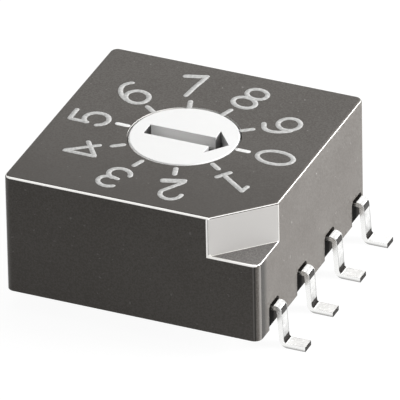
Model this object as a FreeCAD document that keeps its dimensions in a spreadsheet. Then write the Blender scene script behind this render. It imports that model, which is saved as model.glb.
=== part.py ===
import FreeCAD, Part
import os
import Sketcher

# Ten-position rotary coding switch for surface mounting, in millimetres.
# +Z is up, the origin lies on the rotor's axis at the level of the feet, which is the board's face.
# Four code leads leave through the +X wall and the common lead through the -X wall.
# The corner notch that marks the first lead is at +X, -Y. The arrow points along +X at position 0.

# Driving dimensions, each written once
SIZES = {
    # Outside of the housing
    "body_side": 9.8,
    "body_height": 4.7,
    "standoff": 0.72,
    "corner_radius": 0.3,
    "edge_radius": 0.12,
    "crease_radius": 0.05,
    "notch_leg": 1.9,
    "notch_depth": 1.57,
    # Walls of the housing
    "wall": 0.5,
    "roof": 0.75,
    "notch_wall": 0.6,
    "collar_wall": 0.6,
    "collar_depth": 0.75,
    # Openings in the side walls for the leads
    "window_width": 0.9,
    "window_gap": 0.08,
    "window_bevel": 0.12,
    "window_relief": 0.05,
    # Rotor and its seal
    "rotor_radius": 2.0,
    "rotor_gap": 0.05,
    "rotor_play": 0.05,
    "rotor_bevel": 0.05,
    "ring_section": 0.46,
    "ring_gap": 0.02,
    "ring_drop": 1.10,
    "groove_margin": 0.04,
    # Arrow slot for the driver
    "slot_width": 0.64,
    "slot_tail": 1.45,
    "slot_depth": 0.6,
    "arrow_base": 1.07,
    "arrow_half": 0.81,
    "arrow_tip": 1.72,
    # Detent wheel, moulded on the rotor
    "wheel_radius": 3.3,
    "wheel_height": 0.7,
    "detent_depth": 0.28,
    "detent_floor": 0.3,
    # Code disc under the wheel, and the boss that carries it
    "disc_radius": 3.0,
    "disc_thickness": 0.15,
    "boss_radius": 0.95,
    "boss_flat": 0.78,
    "boss_reach": 0.05,
    "disc_gap": 0.01,
    "common_radius": 1.3,
    "track_radius": 1.65,
    "track_pitch": 0.38,
    "track_width": 0.26,
    # Base with its pivot, and the tongues that fill the windows under the leads
    "base_setback": 0.05,
    "base_gap": 0.02,
    "rim_width": 0.75,
    "rim_gap": 0.03,
    "tongue_setback": 0.06,
    "tongue_gap": 0.02,
    "pivot_radius": 0.5,
    "pivot_gap": 0.03,
    "pivot_height": 2.0,
    "pivot_clearance": 0.1,
    # Detent springs and the posts that hold them
    "spring_thickness": 0.12,
    "spring_height": 0.6,
    "spring_rise": 0.05,
    "spring_bend": 0.08,
    "nose_half": 0.12,
    "nose_gap": 0.03,
    "post_length": 0.4,
    "post_wall": 0.2,
    "post_gap": 0.02,
    "corner_gap": 0.07,
    # Terminals: foot, leg, shank and contact finger from one strip
    "lead_pitch": 2.54,
    "lead_offset": 0.27,
    "lead_width": 0.53,
    "lead_thickness": 0.18,
    "lead_height": 0.93,
    "leg_out": 0.37,
    "leg_lean": 4.0,
    "foot_out": 1.29,
    "shoulder_radius": 0.05,
    "heel_radius": 0.12,
    "web_length": 0.6,
    "web_cover": 0.15,
    "finger_width": 0.2,
    "finger_thickness": 0.12,
    "finger_run": 0.25,
    "finger_nose": 0.2,
    "finger_drop": 0.1,
    "contact_gap": 0.02,
}

# Counts and the code itself. The tracks are named from the innermost outwards, so that no webs cross
STEPS = 10
STEP_ANGLE = 360 / STEPS
CODE_BITS = [int(digit) for digit in "1248"]
TRACK_ORDER = [int(digit) for digit in "4281"]

# Heights and places that follow from the sizes, as expressions on the sheet
HALF = "(Sizes.body_side / 2)"
TOP = "(Sizes.standoff + Sizes.body_height)"
NOTCH_FLOOR = f"({TOP} - Sizes.notch_depth)"
SHELF = f"({NOTCH_FLOOR} - Sizes.notch_wall)"
ROOF_UNDER = f"({TOP} - Sizes.roof)"
COLLAR_UNDER = f"({ROOF_UNDER} - Sizes.collar_depth)"
CAVITY = f"({HALF} - Sizes.wall)"
BORE_RADIUS = "(Sizes.rotor_radius + Sizes.rotor_gap)"
ROTOR_TOP = TOP
WHEEL_TOP = f"({COLLAR_UNDER} - Sizes.rotor_play)"
WHEEL_UNDER = f"({WHEEL_TOP} - Sizes.wheel_height)"
DISC_UNDER = f"({WHEEL_UNDER} - Sizes.disc_thickness)"
BOSS_UNDER = f"({DISC_UNDER} - Sizes.boss_reach)"
RING_HEIGHT = f"({TOP} - Sizes.ring_drop)"
RING_RADIUS = f"({BORE_RADIUS} - Sizes.ring_gap - Sizes.ring_section / 2)"
GROOVE_RADIUS = f"({RING_RADIUS} - Sizes.ring_section / 2 - Sizes.ring_gap)"
GROOVE_HALF = "(Sizes.ring_section / 2 + Sizes.groove_margin)"
STRIP_TOP = "(Sizes.standoff + Sizes.lead_height)"
STRIP_UNDER = f"({STRIP_TOP} - Sizes.lead_thickness)"
BASE_UNDER = "(Sizes.standoff + Sizes.base_setback)"
BASE_HALF = f"({CAVITY} - Sizes.base_gap)"
WELL_HALF = f"({BASE_HALF} - Sizes.rim_width)"
RIM_TOP = f"min({WHEEL_UNDER} + Sizes.spring_rise; {SHELF} - Sizes.rim_gap)"
PIVOT_TOP = f"({STRIP_UNDER} + Sizes.pivot_height)"
DETENT_ROOT = "(Sizes.wheel_radius - Sizes.detent_depth)"
NOTCH_INSIDE = "(Sizes.body_side - Sizes.notch_leg - Sizes.notch_wall * sqrt(2))"
SPRING_BACK = f"({BASE_HALF} - Sizes.post_wall - Sizes.post_gap)"
SPRING_FACE = f"({SPRING_BACK} - Sizes.spring_thickness)"
POST_FAR = f"({NOTCH_INSIDE} - {BASE_HALF} - Sizes.corner_gap)"
LEG_PLACE = f"({HALF} + Sizes.leg_out)"
FOOT_TIP = f"({HALF} + Sizes.foot_out)"

# The outermost web keeps a finger's width behind the moulding, so a small body narrows the row
WEB_REACH = f"({BASE_HALF} - Sizes.web_cover)"
ROW_MIDDLE = (len(CODE_BITS) - 1) / 2
ROW_END = f"({WEB_REACH} - Sizes.finger_width + Sizes.lead_width / 2 - Sizes.lead_offset)"
PITCH = f"min(Sizes.lead_pitch; {ROW_END} / {ROW_MIDDLE})"
LEAD_PLACES = [f"({i - ROW_MIDDLE} * {PITCH} + Sizes.lead_offset)" for i in range(len(CODE_BITS))]
COMMON_PLACE = "Sizes.lead_offset"

doc = FreeCAD.newDocument("rotary_dip_switch")
sheet = doc.addObject("Spreadsheet::Sheet", "Sizes")
for row, (alias, value) in enumerate(SIZES.items(), start=1):
    sheet.set(f"A{row}", alias)
    sheet.set(f"B{row}", str(value))
    sheet.setAlias(f"B{row}", alias)
doc.recompute()


def number(expression):
    """The present value of an expression on the sheet."""
    value = sheet.evalExpression(expression)
    return float(getattr(value, "Value", value))


# Helpers for sketches and features. The sketcher counts a sketch's own origin as element -1, and an
# element's points as 1 for its start, 2 for its end and 3 for its centre.
ORIGIN, START, END, CENTRE = -1, 1, 2, 3


def new_body(name):
    """A body whose label is the sub-part's name."""
    body = doc.addObject("PartDesign::Body", name)
    body.Label = name
    return body


def new_sketch(body, name, role, lift="0", turn=0.0):
    """A sketch on one of the body's own planes, moved along its normal and turned about +Z."""
    sketch = body.newObject("Sketcher::SketchObject", name)
    support = next(item for item in body.Origin.OriginFeatures if item.Role == role)
    sketch.AttachmentSupport = [(support, "")]
    sketch.MapMode = "FlatFace"
    upright = FreeCAD.Vector(0, 0, 1) if role == "XY_Plane" else FreeCAD.Vector(0, 1, 0)
    sketch.AttachmentOffset = FreeCAD.Placement(FreeCAD.Vector(), FreeCAD.Rotation(upright, turn))
    sketch.setExpression("AttachmentOffset.Base.z", lift)
    return sketch


def bind(sketch, kind, geometry, corner, x, value, name):
    """A distance from the sketch's origin, driven by an expression."""
    index = sketch.addConstraint(Sketcher.Constraint(kind, ORIGIN, START, geometry, corner, x))
    sketch.renameConstraint(index, name)
    sketch.setExpression(f"Constraints.{name}", value)


def add_polygon(sketch, corners):
    """A closed outline whose corners are pairs of expressions."""
    first = sketch.GeometryCount
    places = [FreeCAD.Vector(number(x), number(y), 0) for x, y in corners]
    count = len(corners)
    for i in range(count):
        sketch.addGeometry(Part.LineSegment(places[i], places[(i + 1) % count]), False)
    for i in range(count):
        following = first + (i + 1) % count
        sketch.addConstraint(Sketcher.Constraint("Coincident", first + i, END, following, START))
    for i, (x, y) in enumerate(corners):
        bind(sketch, "DistanceX", first + i, START, places[i].x, x, f"across{first + i}")
        bind(sketch, "DistanceY", first + i, START, places[i].y, y, f"along{first + i}")


def add_rectangle(sketch, low_x, low_y, high_x, high_y):
    """A closed rectangle between two corners."""
    add_polygon(sketch, [(low_x, low_y), (high_x, low_y), (high_x, high_y), (low_x, high_y)])


def add_circle(sketch, radius, x="0", y="0"):
    """A circle at a place given by two expressions."""
    index = sketch.GeometryCount
    centre = FreeCAD.Vector(number(x), number(y), 0)
    sketch.addGeometry(Part.Circle(centre, FreeCAD.Vector(0, 0, 1), number(radius)), False)
    bind(sketch, "DistanceX", index, CENTRE, centre.x, x, f"across{index}")
    bind(sketch, "DistanceY", index, CENTRE, centre.y, y, f"along{index}")
    fixed = sketch.addConstraint(Sketcher.Constraint("Radius", index, number(radius)))
    sketch.renameConstraint(fixed, f"radius{index}")
    sketch.setExpression(f"Constraints.radius{index}", radius)


def add_feature(body, kind, sketch, length, upward=False, symmetric=False):
    """A pad or pocket of a sketch, which has to change the body's volume the right way."""
    before = body.Shape.Volume if body.Tip else 0.0
    feature = body.newObject(f"PartDesign::{kind}", sketch.Name + kind)
    feature.Profile = sketch
    feature.Reversed = upward if kind == "Pocket" else not upward
    if symmetric:
        feature.SideType = "Symmetric"
    feature.setExpression("Length", length)
    doc.recompute()
    grown = body.Shape.Volume - before
    if (kind == "Pad") != (grown > 0) or abs(grown) < 1e-9:
        raise RuntimeError(f"{feature.Name} changed nothing in {body.Label}")
    return feature


def pad(body, sketch, length, upward=True, symmetric=False):
    """Material added to one side of a sketch, or to both."""
    return add_feature(body, "Pad", sketch, length, upward, symmetric)


def pocket(body, sketch, length, upward=False):
    """Material cut away on one side of a sketch."""
    return add_feature(body, "Pocket", sketch, length, upward)


def turn_about_axis(body, kind, sketch, angle=360.0):
    """A revolution or groove of an upright sketch about +Z."""
    feature = body.newObject(f"PartDesign::{kind}", sketch.Name + kind)
    feature.Profile = sketch
    feature.ReferenceAxis = (sketch, ["V_Axis"])
    feature.Angle = angle
    doc.recompute()
    return feature


def fillet(body, radius, wanted, kind="Fillet", prop="Radius"):
    """Rounds or bevels the edges of the body's tip for which wanted(edge) is true."""
    tip = body.Tip
    names = [f"Edge{i}" for i, edge in enumerate(tip.Shape.Edges, start=1) if wanted(edge)]
    feature = body.newObject(f"PartDesign::{kind}", f"{tip.Name}{kind}")
    feature.Base = (tip, names)
    feature.setExpression(prop, radius)
    doc.recompute()
    return feature


def is_along(edge, axis):
    """True for a straight edge parallel to axis, which is a vector."""
    if edge.Curve.TypeId != "Part::GeomLine":
        return False
    return edge.tangentAt(edge.FirstParameter).cross(axis).Length < 1e-6


def lies_at(edge, height):
    """True for an edge that lies flat at a height."""
    box = edge.BoundBox
    return abs(box.ZMin - height) < 1e-5 and abs(box.ZMax - height) < 1e-5


def near(edge, places, first, second):
    """True if the edge's middle is at one of the places, read on two axes such as x and z."""
    middle = edge.BoundBox.Center
    here = (getattr(middle, first), getattr(middle, second))
    return any(abs(here[0] - a) < 1e-4 and abs(here[1] - b) < 1e-4 for a, b in places)


UP = FreeCAD.Vector(0, 0, 1)
ACROSS = FreeCAD.Vector(0, 1, 0)
DIAGONAL = FreeCAD.Vector(1, 1, 0)
FAR = "Sizes.body_side"


# Housing: a black shell, open below, with a round collar in its roof for the rotor

def build_housing():
    body = new_body("housing")
    outline = new_sketch(body, "HousingOutline", "XY_Plane", "Sizes.standoff")
    add_rectangle(outline, f"-{HALF}", f"-{HALF}", HALF, HALF)
    pad(body, outline, "Sizes.body_height")
    fillet(body, "Sizes.corner_radius", lambda edge: is_along(edge, UP))

    # The corner notch is a right-angled triangle cut down from the top
    notch = new_sketch(body, "CornerNotch", "XY_Plane", TOP)
    add_polygon(notch, [
        (f"{HALF} - Sizes.notch_leg - {FAR}", f"-{HALF} - {FAR}"),
        (f"{HALF} + {FAR}", f"-{HALF} - {FAR}"),
        (f"{HALF} + {FAR}", f"-{HALF} + Sizes.notch_leg + {FAR}"),
    ])
    pocket(body, notch, "Sizes.notch_depth")
    top, floor = number(TOP), number(NOTCH_FLOOR)
    fillet(body, "Sizes.edge_radius", lambda edge: lies_at(edge, top))
    fillet(body, "Sizes.crease_radius", lambda edge: lies_at(edge, floor) and not is_along(edge, DIAGONAL))

    # The inside is square up to the shelf under the notch, and has a cut corner above it
    lower = new_sketch(body, "LowerCavity", "XY_Plane", "Sizes.standoff")
    add_rectangle(lower, f"-{CAVITY}", f"-{CAVITY}", CAVITY, CAVITY)
    pocket(body, lower, f"{SHELF} - Sizes.standoff", upward=True)
    upper = new_sketch(body, "UpperCavity", "XY_Plane", SHELF)
    cut = f"(2 * {CAVITY} - {NOTCH_INSIDE})"
    add_polygon(upper, [
        (f"-{CAVITY}", f"-{CAVITY}"),
        (f"{CAVITY} - {cut}", f"-{CAVITY}"),
        (CAVITY, f"-{CAVITY} + {cut}"),
        (CAVITY, CAVITY),
        (f"-{CAVITY}", CAVITY),
    ])
    pocket(body, upper, f"{ROOF_UNDER} - {SHELF}", upward=True)

    # The collar hangs from the roof, and the bore runs down through both
    collar = new_sketch(body, "Collar", "XY_Plane", ROOF_UNDER)
    add_circle(collar, f"{BORE_RADIUS} + Sizes.collar_wall")
    pad(body, collar, "Sizes.collar_depth", upward=False)
    bore = new_sketch(body, "RotorBore", "XY_Plane", TOP)
    add_circle(bore, BORE_RADIUS)
    pocket(body, bore, "Sizes.roof + Sizes.collar_depth")

    cut_windows(body, "CodeWindows", LEAD_PLACES, HALF)
    cut_windows(body, "CommonWindow", [COMMON_PLACE], f"-({CAVITY} - Sizes.window_relief)")
    return body


def cut_windows(body, name, places, face):
    """Openings in one wall for the leads, open at the wall's lower edge and a little deeper than the wall."""
    sketch = new_sketch(body, name, "YZ_Plane", face)
    side = "(Sizes.window_width / 2)"
    head = f"({STRIP_TOP} + Sizes.window_gap)"
    low = "(Sizes.standoff - Sizes.wall)"
    bevel = "Sizes.window_bevel"
    for place in places:
        add_polygon(sketch, [
            (f"{place} - {side}", low),
            (f"{place} + {side}", low),
            (f"{place} + {side}", f"{head} - {bevel}"),
            (f"{place} + {side} - {bevel}", head),
            (f"{place} - {side} + {bevel}", head),
            (f"{place} - {side}", f"{head} - {bevel}"),
        ])
    pocket(body, sketch, "Sizes.wall + Sizes.window_relief")


# Rotor: the white head with its arrow slot, the seal's groove, the detent wheel and the boss below

def build_rotor():
    body = new_body("rotor")
    profile = new_sketch(body, "RotorProfile", "XZ_Plane")
    radius = "Sizes.rotor_radius"
    bevel = "Sizes.rotor_bevel"
    hole = "(Sizes.pivot_radius + Sizes.pivot_gap)"
    add_polygon(profile, [
        ("0", f"{PIVOT_TOP} + Sizes.pivot_clearance"),
        (hole, f"{PIVOT_TOP} + Sizes.pivot_clearance"),
        (hole, BOSS_UNDER),
        ("Sizes.boss_radius", BOSS_UNDER),
        ("Sizes.boss_radius", WHEEL_UNDER),
        ("Sizes.wheel_radius", WHEEL_UNDER),
        ("Sizes.wheel_radius", WHEEL_TOP),
        (radius, WHEEL_TOP),
        (radius, f"{RING_HEIGHT} - {GROOVE_HALF}"),
        (GROOVE_RADIUS, f"{RING_HEIGHT} - {GROOVE_HALF}"),
        (GROOVE_RADIUS, f"{RING_HEIGHT} + {GROOVE_HALF}"),
        (radius, f"{RING_HEIGHT} + {GROOVE_HALF}"),
        (radius, f"{ROTOR_TOP} - {bevel}"),
        (f"{radius} - {bevel}", ROTOR_TOP),
        ("0", ROTOR_TOP),
    ])
    turn_about_axis(body, "Revolution", profile)

    arrow = new_sketch(body, "ArrowSlot", "XY_Plane", ROTOR_TOP)
    side = "(Sizes.slot_width / 2)"
    add_polygon(arrow, [
        ("-Sizes.slot_tail", f"-{side}"),
        ("Sizes.arrow_base", f"-{side}"),
        ("Sizes.arrow_base", "-Sizes.arrow_half"),
        ("Sizes.arrow_tip", "0"),
        ("Sizes.arrow_base", "Sizes.arrow_half"),
        ("Sizes.arrow_base", side),
        ("-Sizes.slot_tail", side),
    ])
    pocket(body, arrow, "Sizes.slot_depth")

    # Two flats key the code disc to the boss
    flats = new_sketch(body, "BossFlats", "XY_Plane", BOSS_UNDER)
    reach = "Sizes.boss_radius"
    for sign in ("", "-"):
        low, high = f"{sign}Sizes.boss_flat", f"{sign}2 * {reach}"
        add_polygon(flats, [(f"-2 * {reach}", low), (f"2 * {reach}", low),
                            (f"2 * {reach}", high), (f"-2 * {reach}", high)])
    pocket(body, flats, "Sizes.disc_thickness + Sizes.boss_reach", upward=True)

    # The detents stand half a step off the arrow, so that two of them face the springs
    detent = new_sketch(body, "Detent", "XY_Plane", WHEEL_TOP)
    floor = "(Sizes.detent_floor / 2)"
    mouth = f"({floor} + Sizes.detent_depth + Sizes.wheel_height)"
    out = "(Sizes.wheel_radius + Sizes.wheel_height)"
    add_polygon(detent, [(f"-{floor}", DETENT_ROOT), (f"-{mouth}", out), (mouth, out), (floor, DETENT_ROOT)])
    first = pocket(body, detent, "Sizes.wheel_height")
    pattern = body.newObject("PartDesign::PolarPattern", "Detents")
    pattern.Originals = [first]
    pattern.Axis = (detent, ["N_Axis"])
    pattern.Angle = 360.0
    pattern.Occurrences = STEPS
    body.Tip = pattern
    doc.recompute()
    return body


# Seal: a round rubber ring in the rotor's groove, against the collar's bore

def build_ring():
    ring = doc.addObject("Part::Torus", "o_ring")
    ring.Label = "o_ring"
    ring.setExpression("Radius1", RING_RADIUS)
    ring.setExpression("Radius2", "Sizes.ring_section / 2")
    ring.setExpression("Placement.Base.z", RING_HEIGHT)
    return ring


# Code disc: one stamped and plated ring with a track for each bit and a plain track for the common

def finger_side(bit):
    """The side of the axis that the bit's finger touches, +1 or -1 along Y."""
    return 1 if CODE_BITS.index(bit) > ROW_MIDDLE else -1


def finger_radius(bit):
    """The radius of the bit's track."""
    return f"(Sizes.track_radius + {TRACK_ORDER.index(bit)} * Sizes.track_pitch)"


def gaps_in_track(bit):
    """The first position and the count of each run of positions where the bit is off."""
    closed = [bool(position & bit) for position in range(STEPS)]
    starts = [p for p in range(STEPS) if not closed[p] and closed[p - 1]]
    for start in starts:
        count = 0
        while not closed[(start + count) % STEPS]:
            count += 1
        yield start, count


def build_disc():
    body = new_body("code_disc")
    outline = new_sketch(body, "DiscOutline", "XY_Plane", DISC_UNDER)
    add_circle(outline, "Sizes.disc_radius")
    pad(body, outline, "Sizes.disc_thickness")

    # The bore has the boss's two flats
    bore = new_sketch(body, "DiscBore", "XY_Plane", DISC_UNDER)
    add_circle(bore, "Sizes.boss_radius + Sizes.disc_gap")
    pocket(body, bore, "Sizes.disc_thickness", upward=True)
    keys = new_sketch(body, "DiscKeys", "XY_Plane", DISC_UNDER)
    chord = "(sqrt(Sizes.boss_radius ^ 2 - Sizes.boss_flat ^ 2) + Sizes.disc_gap)"
    for sign in ("", "-"):
        low, high = f"{sign}(Sizes.boss_flat + Sizes.disc_gap)", f"{sign}Sizes.common_radius"
        add_polygon(keys, [(f"-{chord}", low), (chord, low), (chord, high), (f"-{chord}", high)])
    pad(body, keys, "Sizes.disc_thickness")

    # A window for each run of open positions. The rotor turns clockwise, so a position's part of
    # the track lies that many steps counter-clockwise from where the finger touches at rest.
    for bit in CODE_BITS:
        for start, count in gaps_in_track(bit):
            angle = 90 * finger_side(bit) + (start - 0.5) * STEP_ANGLE
            cut_track(body, f"Track{bit}From{start}", finger_radius(bit), angle, count * STEP_ANGLE)
    return body


def cut_track(body, name, radius, angle, span):
    """A curved window in one track, from angle round to angle + span."""
    sketch = new_sketch(body, name, "XZ_Plane", turn=angle)
    side = "(Sizes.track_width / 2)"
    add_rectangle(sketch, f"{radius} - {side}", f"{DISC_UNDER} - Sizes.disc_thickness",
                  f"{radius} + {side}", f"{WHEEL_UNDER} + Sizes.disc_thickness")
    before = body.Shape.Volume
    groove = turn_about_axis(body, "Groove", sketch, span)
    if not body.Shape.Volume < before:
        raise RuntimeError(f"{groove.Name} cuts nothing")


# Base: the moulded floor and rim that carry the terminals, the pivot and the springs' posts

def build_base_blank():
    body = new_body("base_blank")
    block = new_sketch(body, "BaseBlock", "XY_Plane", BASE_UNDER)
    add_rectangle(block, f"-{BASE_HALF}", f"-{BASE_HALF}", BASE_HALF, BASE_HALF)
    pad(body, block, f"{RIM_TOP} - {BASE_UNDER}")
    well = new_sketch(body, "Well", "XY_Plane", RIM_TOP)
    add_rectangle(well, f"-{WELL_HALF}", f"-{WELL_HALF}", WELL_HALF, WELL_HALF)
    pocket(body, well, f"{RIM_TOP} - {STRIP_UNDER}")
    pivot = new_sketch(body, "Pivot", "XY_Plane", STRIP_UNDER)
    add_circle(pivot, "Sizes.pivot_radius")
    pad(body, pivot, "Sizes.pivot_height")

    # Each spring end stands between two cheeks on the rim
    posts = new_sketch(body, "Posts", "XY_Plane", RIM_TOP)
    near_x = f"({POST_FAR} - Sizes.post_length)"
    inner = f"({SPRING_FACE} - Sizes.post_gap)"
    cheeks = ((f"({inner} - Sizes.post_wall)", inner), (f"({SPRING_BACK} + Sizes.post_gap)", BASE_HALF))
    for side_x in ("", "-"):
        for side_y in ("", "-"):
            for low, high in cheeks:
                add_polygon(posts, [
                    (f"{side_x}{near_x}", f"{side_y}{low}"),
                    (f"{side_x}{POST_FAR}", f"{side_y}{low}"),
                    (f"{side_x}{POST_FAR}", f"{side_y}{high}"),
                    (f"{side_x}{near_x}", f"{side_y}{high}"),
                ])
    pad(body, posts, "Sizes.spring_height")

    add_tongues(body, "CodeTongues", LEAD_PLACES, BASE_HALF, outward=True)
    add_tongues(body, "CommonTongue", [COMMON_PLACE], f"-{BASE_HALF}", outward=False)
    return body


def add_tongues(body, name, places, face, outward):
    """Tongues that fill the housing's windows from the base's side up to the leads' undersides."""
    sketch = new_sketch(body, name, "YZ_Plane", face)
    side = "(Sizes.window_width / 2 - Sizes.tongue_gap)"
    for place in places:
        add_rectangle(sketch, f"{place} - {side}", BASE_UNDER, f"{place} + {side}", STRIP_UNDER)
    pad(body, sketch, f"{HALF} - Sizes.tongue_setback - {BASE_HALF}", upward=outward)


def build_base(terminals):
    """The moulding is cast round the terminals, so their shapes are taken out of it."""
    inserts = doc.addObject("Part::Compound", "inserts")
    inserts.Links = terminals
    base = doc.addObject("Part::Cut", "base")
    base.Label = "base"
    base.Base = build_base_blank()
    base.Tool = inserts
    doc.recompute()
    return base


# Detent springs: a flat leaf on edge at the front and back, with a nose in one detent of the wheel

def build_spring(name, side):
    body = new_body(name)
    sketch = new_sketch(body, f"{name}_profile", "XY_Plane", RIM_TOP)
    thick = "Sizes.spring_thickness"
    shift = f"({thick} * tan(22.5))"
    tip = f"({DETENT_ROOT} + Sizes.nose_gap)"
    shoulder = f"(Sizes.nose_half + {SPRING_FACE} - {tip})"
    inner = [(POST_FAR, SPRING_FACE), (shoulder, SPRING_FACE), ("Sizes.nose_half", tip)]
    outer = [(POST_FAR, SPRING_BACK),
             (f"({shoulder} - {shift})", SPRING_BACK),
             (f"(Sizes.nose_half - {shift})", f"({tip} + {thick})")]
    right = inner[::-1] + outer
    left = [(f"-{x}", y) for x, y in outer[::-1] + inner]
    corners = right + left
    add_polygon(sketch, [(x, f"{side}{y}") for x, y in corners])
    pad(body, sketch, "Sizes.spring_height")

    # Outside corners of the bends get the strip's thickness more than inside corners
    sign = number(f"{side}1")
    tight = [(number(x) * s, number(y) * sign) for x, y in (inner[1], outer[2]) for s in (1, -1)]
    wide = [(number(x) * s, number(y) * sign) for x, y in (inner[2], outer[1]) for s in (1, -1)]
    fillet(body, "Sizes.spring_bend", lambda edge: is_along(edge, UP) and near(edge, tight, "x", "y"))
    fillet(body, f"Sizes.spring_bend + {thick}",
           lambda edge: is_along(edge, UP) and near(edge, wide, "x", "y"))
    return body


# Terminals: foot, leg and shank outside, a web in the base and a contact finger under the disc

def build_terminal(name, side, lead_place, finger_place, contact):
    """side is "" for +X or "-" for -X; contact is the finger tip's distance from the axis along X."""
    body = new_body(name)
    thick = "Sizes.lead_thickness"
    slope = "tan(Sizes.leg_lean)"

    # Foot, leg and shank, as one mitred strip whose bends are then rounded
    strip = new_sketch(body, f"{name}_lead", "XZ_Plane", f"-({lead_place})")
    leg_in = f"({LEG_PLACE} - {thick} / cos(Sizes.leg_lean))"
    shoulder_out = (LEG_PLACE, STRIP_TOP)
    shoulder_in = (f"({leg_in} + {thick} * {slope})", STRIP_UNDER)
    heel_in = (f"({LEG_PLACE} + ({STRIP_TOP} - {thick}) * {slope})", thick)
    heel_out = (f"({leg_in} + {STRIP_TOP} * {slope})", "0")
    corners = [(BASE_HALF, STRIP_TOP), shoulder_out, heel_in, (FOOT_TIP, thick),
               (FOOT_TIP, "0"), heel_out, shoulder_in, (BASE_HALF, STRIP_UNDER)]
    add_polygon(strip, [(f"{side}{x}", z) for x, z in corners])
    pad(body, strip, "Sizes.lead_width", symmetric=True)
    round_bend(body, side, "Sizes.shoulder_radius", shoulder_in, shoulder_out)
    round_bend(body, side, "Sizes.heel_radius", heel_in, heel_out)

    # Web from the base's side to the finger's root. The outermost ones narrow where they enter, so
    # that the moulding covers them
    web = new_sketch(body, f"{name}_web", "XY_Plane", STRIP_UNDER)
    low = f"max({lead_place} - Sizes.lead_width / 2; -{WEB_REACH})"
    high = f"min({lead_place} + Sizes.lead_width / 2; {WEB_REACH})"
    finger_low = f"({finger_place} - Sizes.finger_width / 2)"
    finger_high = f"({finger_place} + Sizes.finger_width / 2)"
    web_end = f"({WELL_HALF} - Sizes.web_length)"
    root = f"({web_end} - Sizes.finger_run)"
    outline = [(BASE_HALF, low), (BASE_HALF, high), (WELL_HALF, high), (web_end, finger_high),
               (root, finger_high), (root, finger_low), (web_end, finger_low), (WELL_HALF, low)]
    add_polygon(web, [(f"{side}{x}", y) for x, y in outline])
    pad(body, web, thick)

    # Finger, rising to just under the disc, with its tip turned down
    finger = new_sketch(body, f"{name}_finger", "XZ_Plane", f"-{finger_place}")
    thin = "Sizes.finger_thickness"
    high = f"({DISC_UNDER} - Sizes.contact_gap)"
    tip = f"({contact} - Sizes.finger_nose)"
    add_polygon(finger, [(f"{side}{x}", z) for x, z in [
        (root, STRIP_TOP), (f"({contact})", high), (tip, f"({high} - Sizes.finger_drop)"),
        (tip, f"({high} - Sizes.finger_drop - {thin})"), (f"({contact})", f"({high} - {thin})"),
        (root, f"({STRIP_TOP} - {thin})"),
    ]])
    pad(body, finger, "Sizes.finger_width", symmetric=True)
    return body


def round_bend(body, side, radius, inside, outside):
    """Rounds one bend of a strip, whose outside gets the strip's thickness more than its inside."""
    sign = number(f"{side}1")
    for corner, size in ((inside, radius), (outside, f"{radius} + Sizes.lead_thickness")):
        place = [(sign * number(corner[0]), number(corner[1]))]
        fillet(body, size, lambda edge: is_along(edge, ACROSS) and near(edge, place, "x", "z"))


def build_terminals():
    parts = []
    for bit, place in zip(CODE_BITS, LEAD_PLACES):
        finger = f"({finger_side(bit)} * {finger_radius(bit)})"
        parts.append(build_terminal(f"terminal_{bit}", "", place, finger, "0"))
    parts.append(build_terminal("terminal_common", "-", COMMON_PLACE, "0", "Sizes.common_radius"))
    return parts


terminals = build_terminals()
sub_parts = [
    build_housing(),
    build_base(terminals),
    build_rotor(),
    build_ring(),
    build_disc(),
    build_spring("detent_spring_front", "-"),
    build_spring("detent_spring_back", ""),
] + terminals
doc.recompute()

# Nothing is written unless every object is sound
for item in doc.Objects:
    if {"Invalid", "Error"} & set(item.State):
        raise RuntimeError(f"{item.Label} failed: {item.State}")
for part in sub_parts:
    if part.Shape.isNull() or not part.Shape.isValid() or part.Shape.Volume <= 0:
        raise RuntimeError(f"{part.Label} has no valid solid")

os.makedirs("parts", exist_ok=True)
for part in sub_parts:
    part.Shape.exportStep(f"parts/{part.Label}.step")
    print(part.Label, len(part.Shape.Solids), "solid", round(part.Shape.Volume, 4), "mm3")
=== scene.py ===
# %% [markdown]
# # A rotary dip switch, dressed for its portrait
#
# A rotary dip switch is a ten-position coding switch for a circuit board. A white rotor is turned with a
# small screwdriver, and its arrow points at one of ten digits printed on a black housing.
#
# The solid parts come ready from the frame. This lesson adds the printed dial, the finish of every
# surface, the light and the camera. Everything is in metres, in the frame's own axes: +Z is up, and the
# arrow points along +X.

import bpy
import numpy as np
from mathutils import Matrix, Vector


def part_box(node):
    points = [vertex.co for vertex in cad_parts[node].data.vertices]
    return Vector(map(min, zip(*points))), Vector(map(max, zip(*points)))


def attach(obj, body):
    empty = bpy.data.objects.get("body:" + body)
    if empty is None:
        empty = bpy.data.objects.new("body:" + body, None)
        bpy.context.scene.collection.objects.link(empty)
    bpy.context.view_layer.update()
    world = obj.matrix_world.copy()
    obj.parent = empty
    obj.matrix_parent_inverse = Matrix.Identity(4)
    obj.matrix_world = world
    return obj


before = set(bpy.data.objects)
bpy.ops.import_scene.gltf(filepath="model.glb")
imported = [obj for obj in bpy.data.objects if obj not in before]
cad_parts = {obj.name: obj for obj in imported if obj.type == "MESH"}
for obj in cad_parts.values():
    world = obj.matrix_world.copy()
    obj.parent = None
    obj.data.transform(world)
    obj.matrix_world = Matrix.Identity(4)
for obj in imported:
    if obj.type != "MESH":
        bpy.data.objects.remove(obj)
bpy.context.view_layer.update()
MM = 0.001

# %% [markdown]
# ## Places that the dial is measured from
#
# The dial is printed on the housing's top face, round the rotor. The box of each node says where these
# are, so the print follows the parts and nothing has to be fitted by eye.

# %% Read the housing and the feet
housing_low, housing_high = (np.array(corner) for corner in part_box("housing"))
TOP = housing_high[2]
SIDE = housing_high[0] - housing_low[0]
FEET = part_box("terminal_1")[0][2]
print(f"top face at {TOP / MM:.2f} mm, housing {SIDE / MM:.2f} mm on a side, feet at {FEET / MM:.2f} mm")

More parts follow.
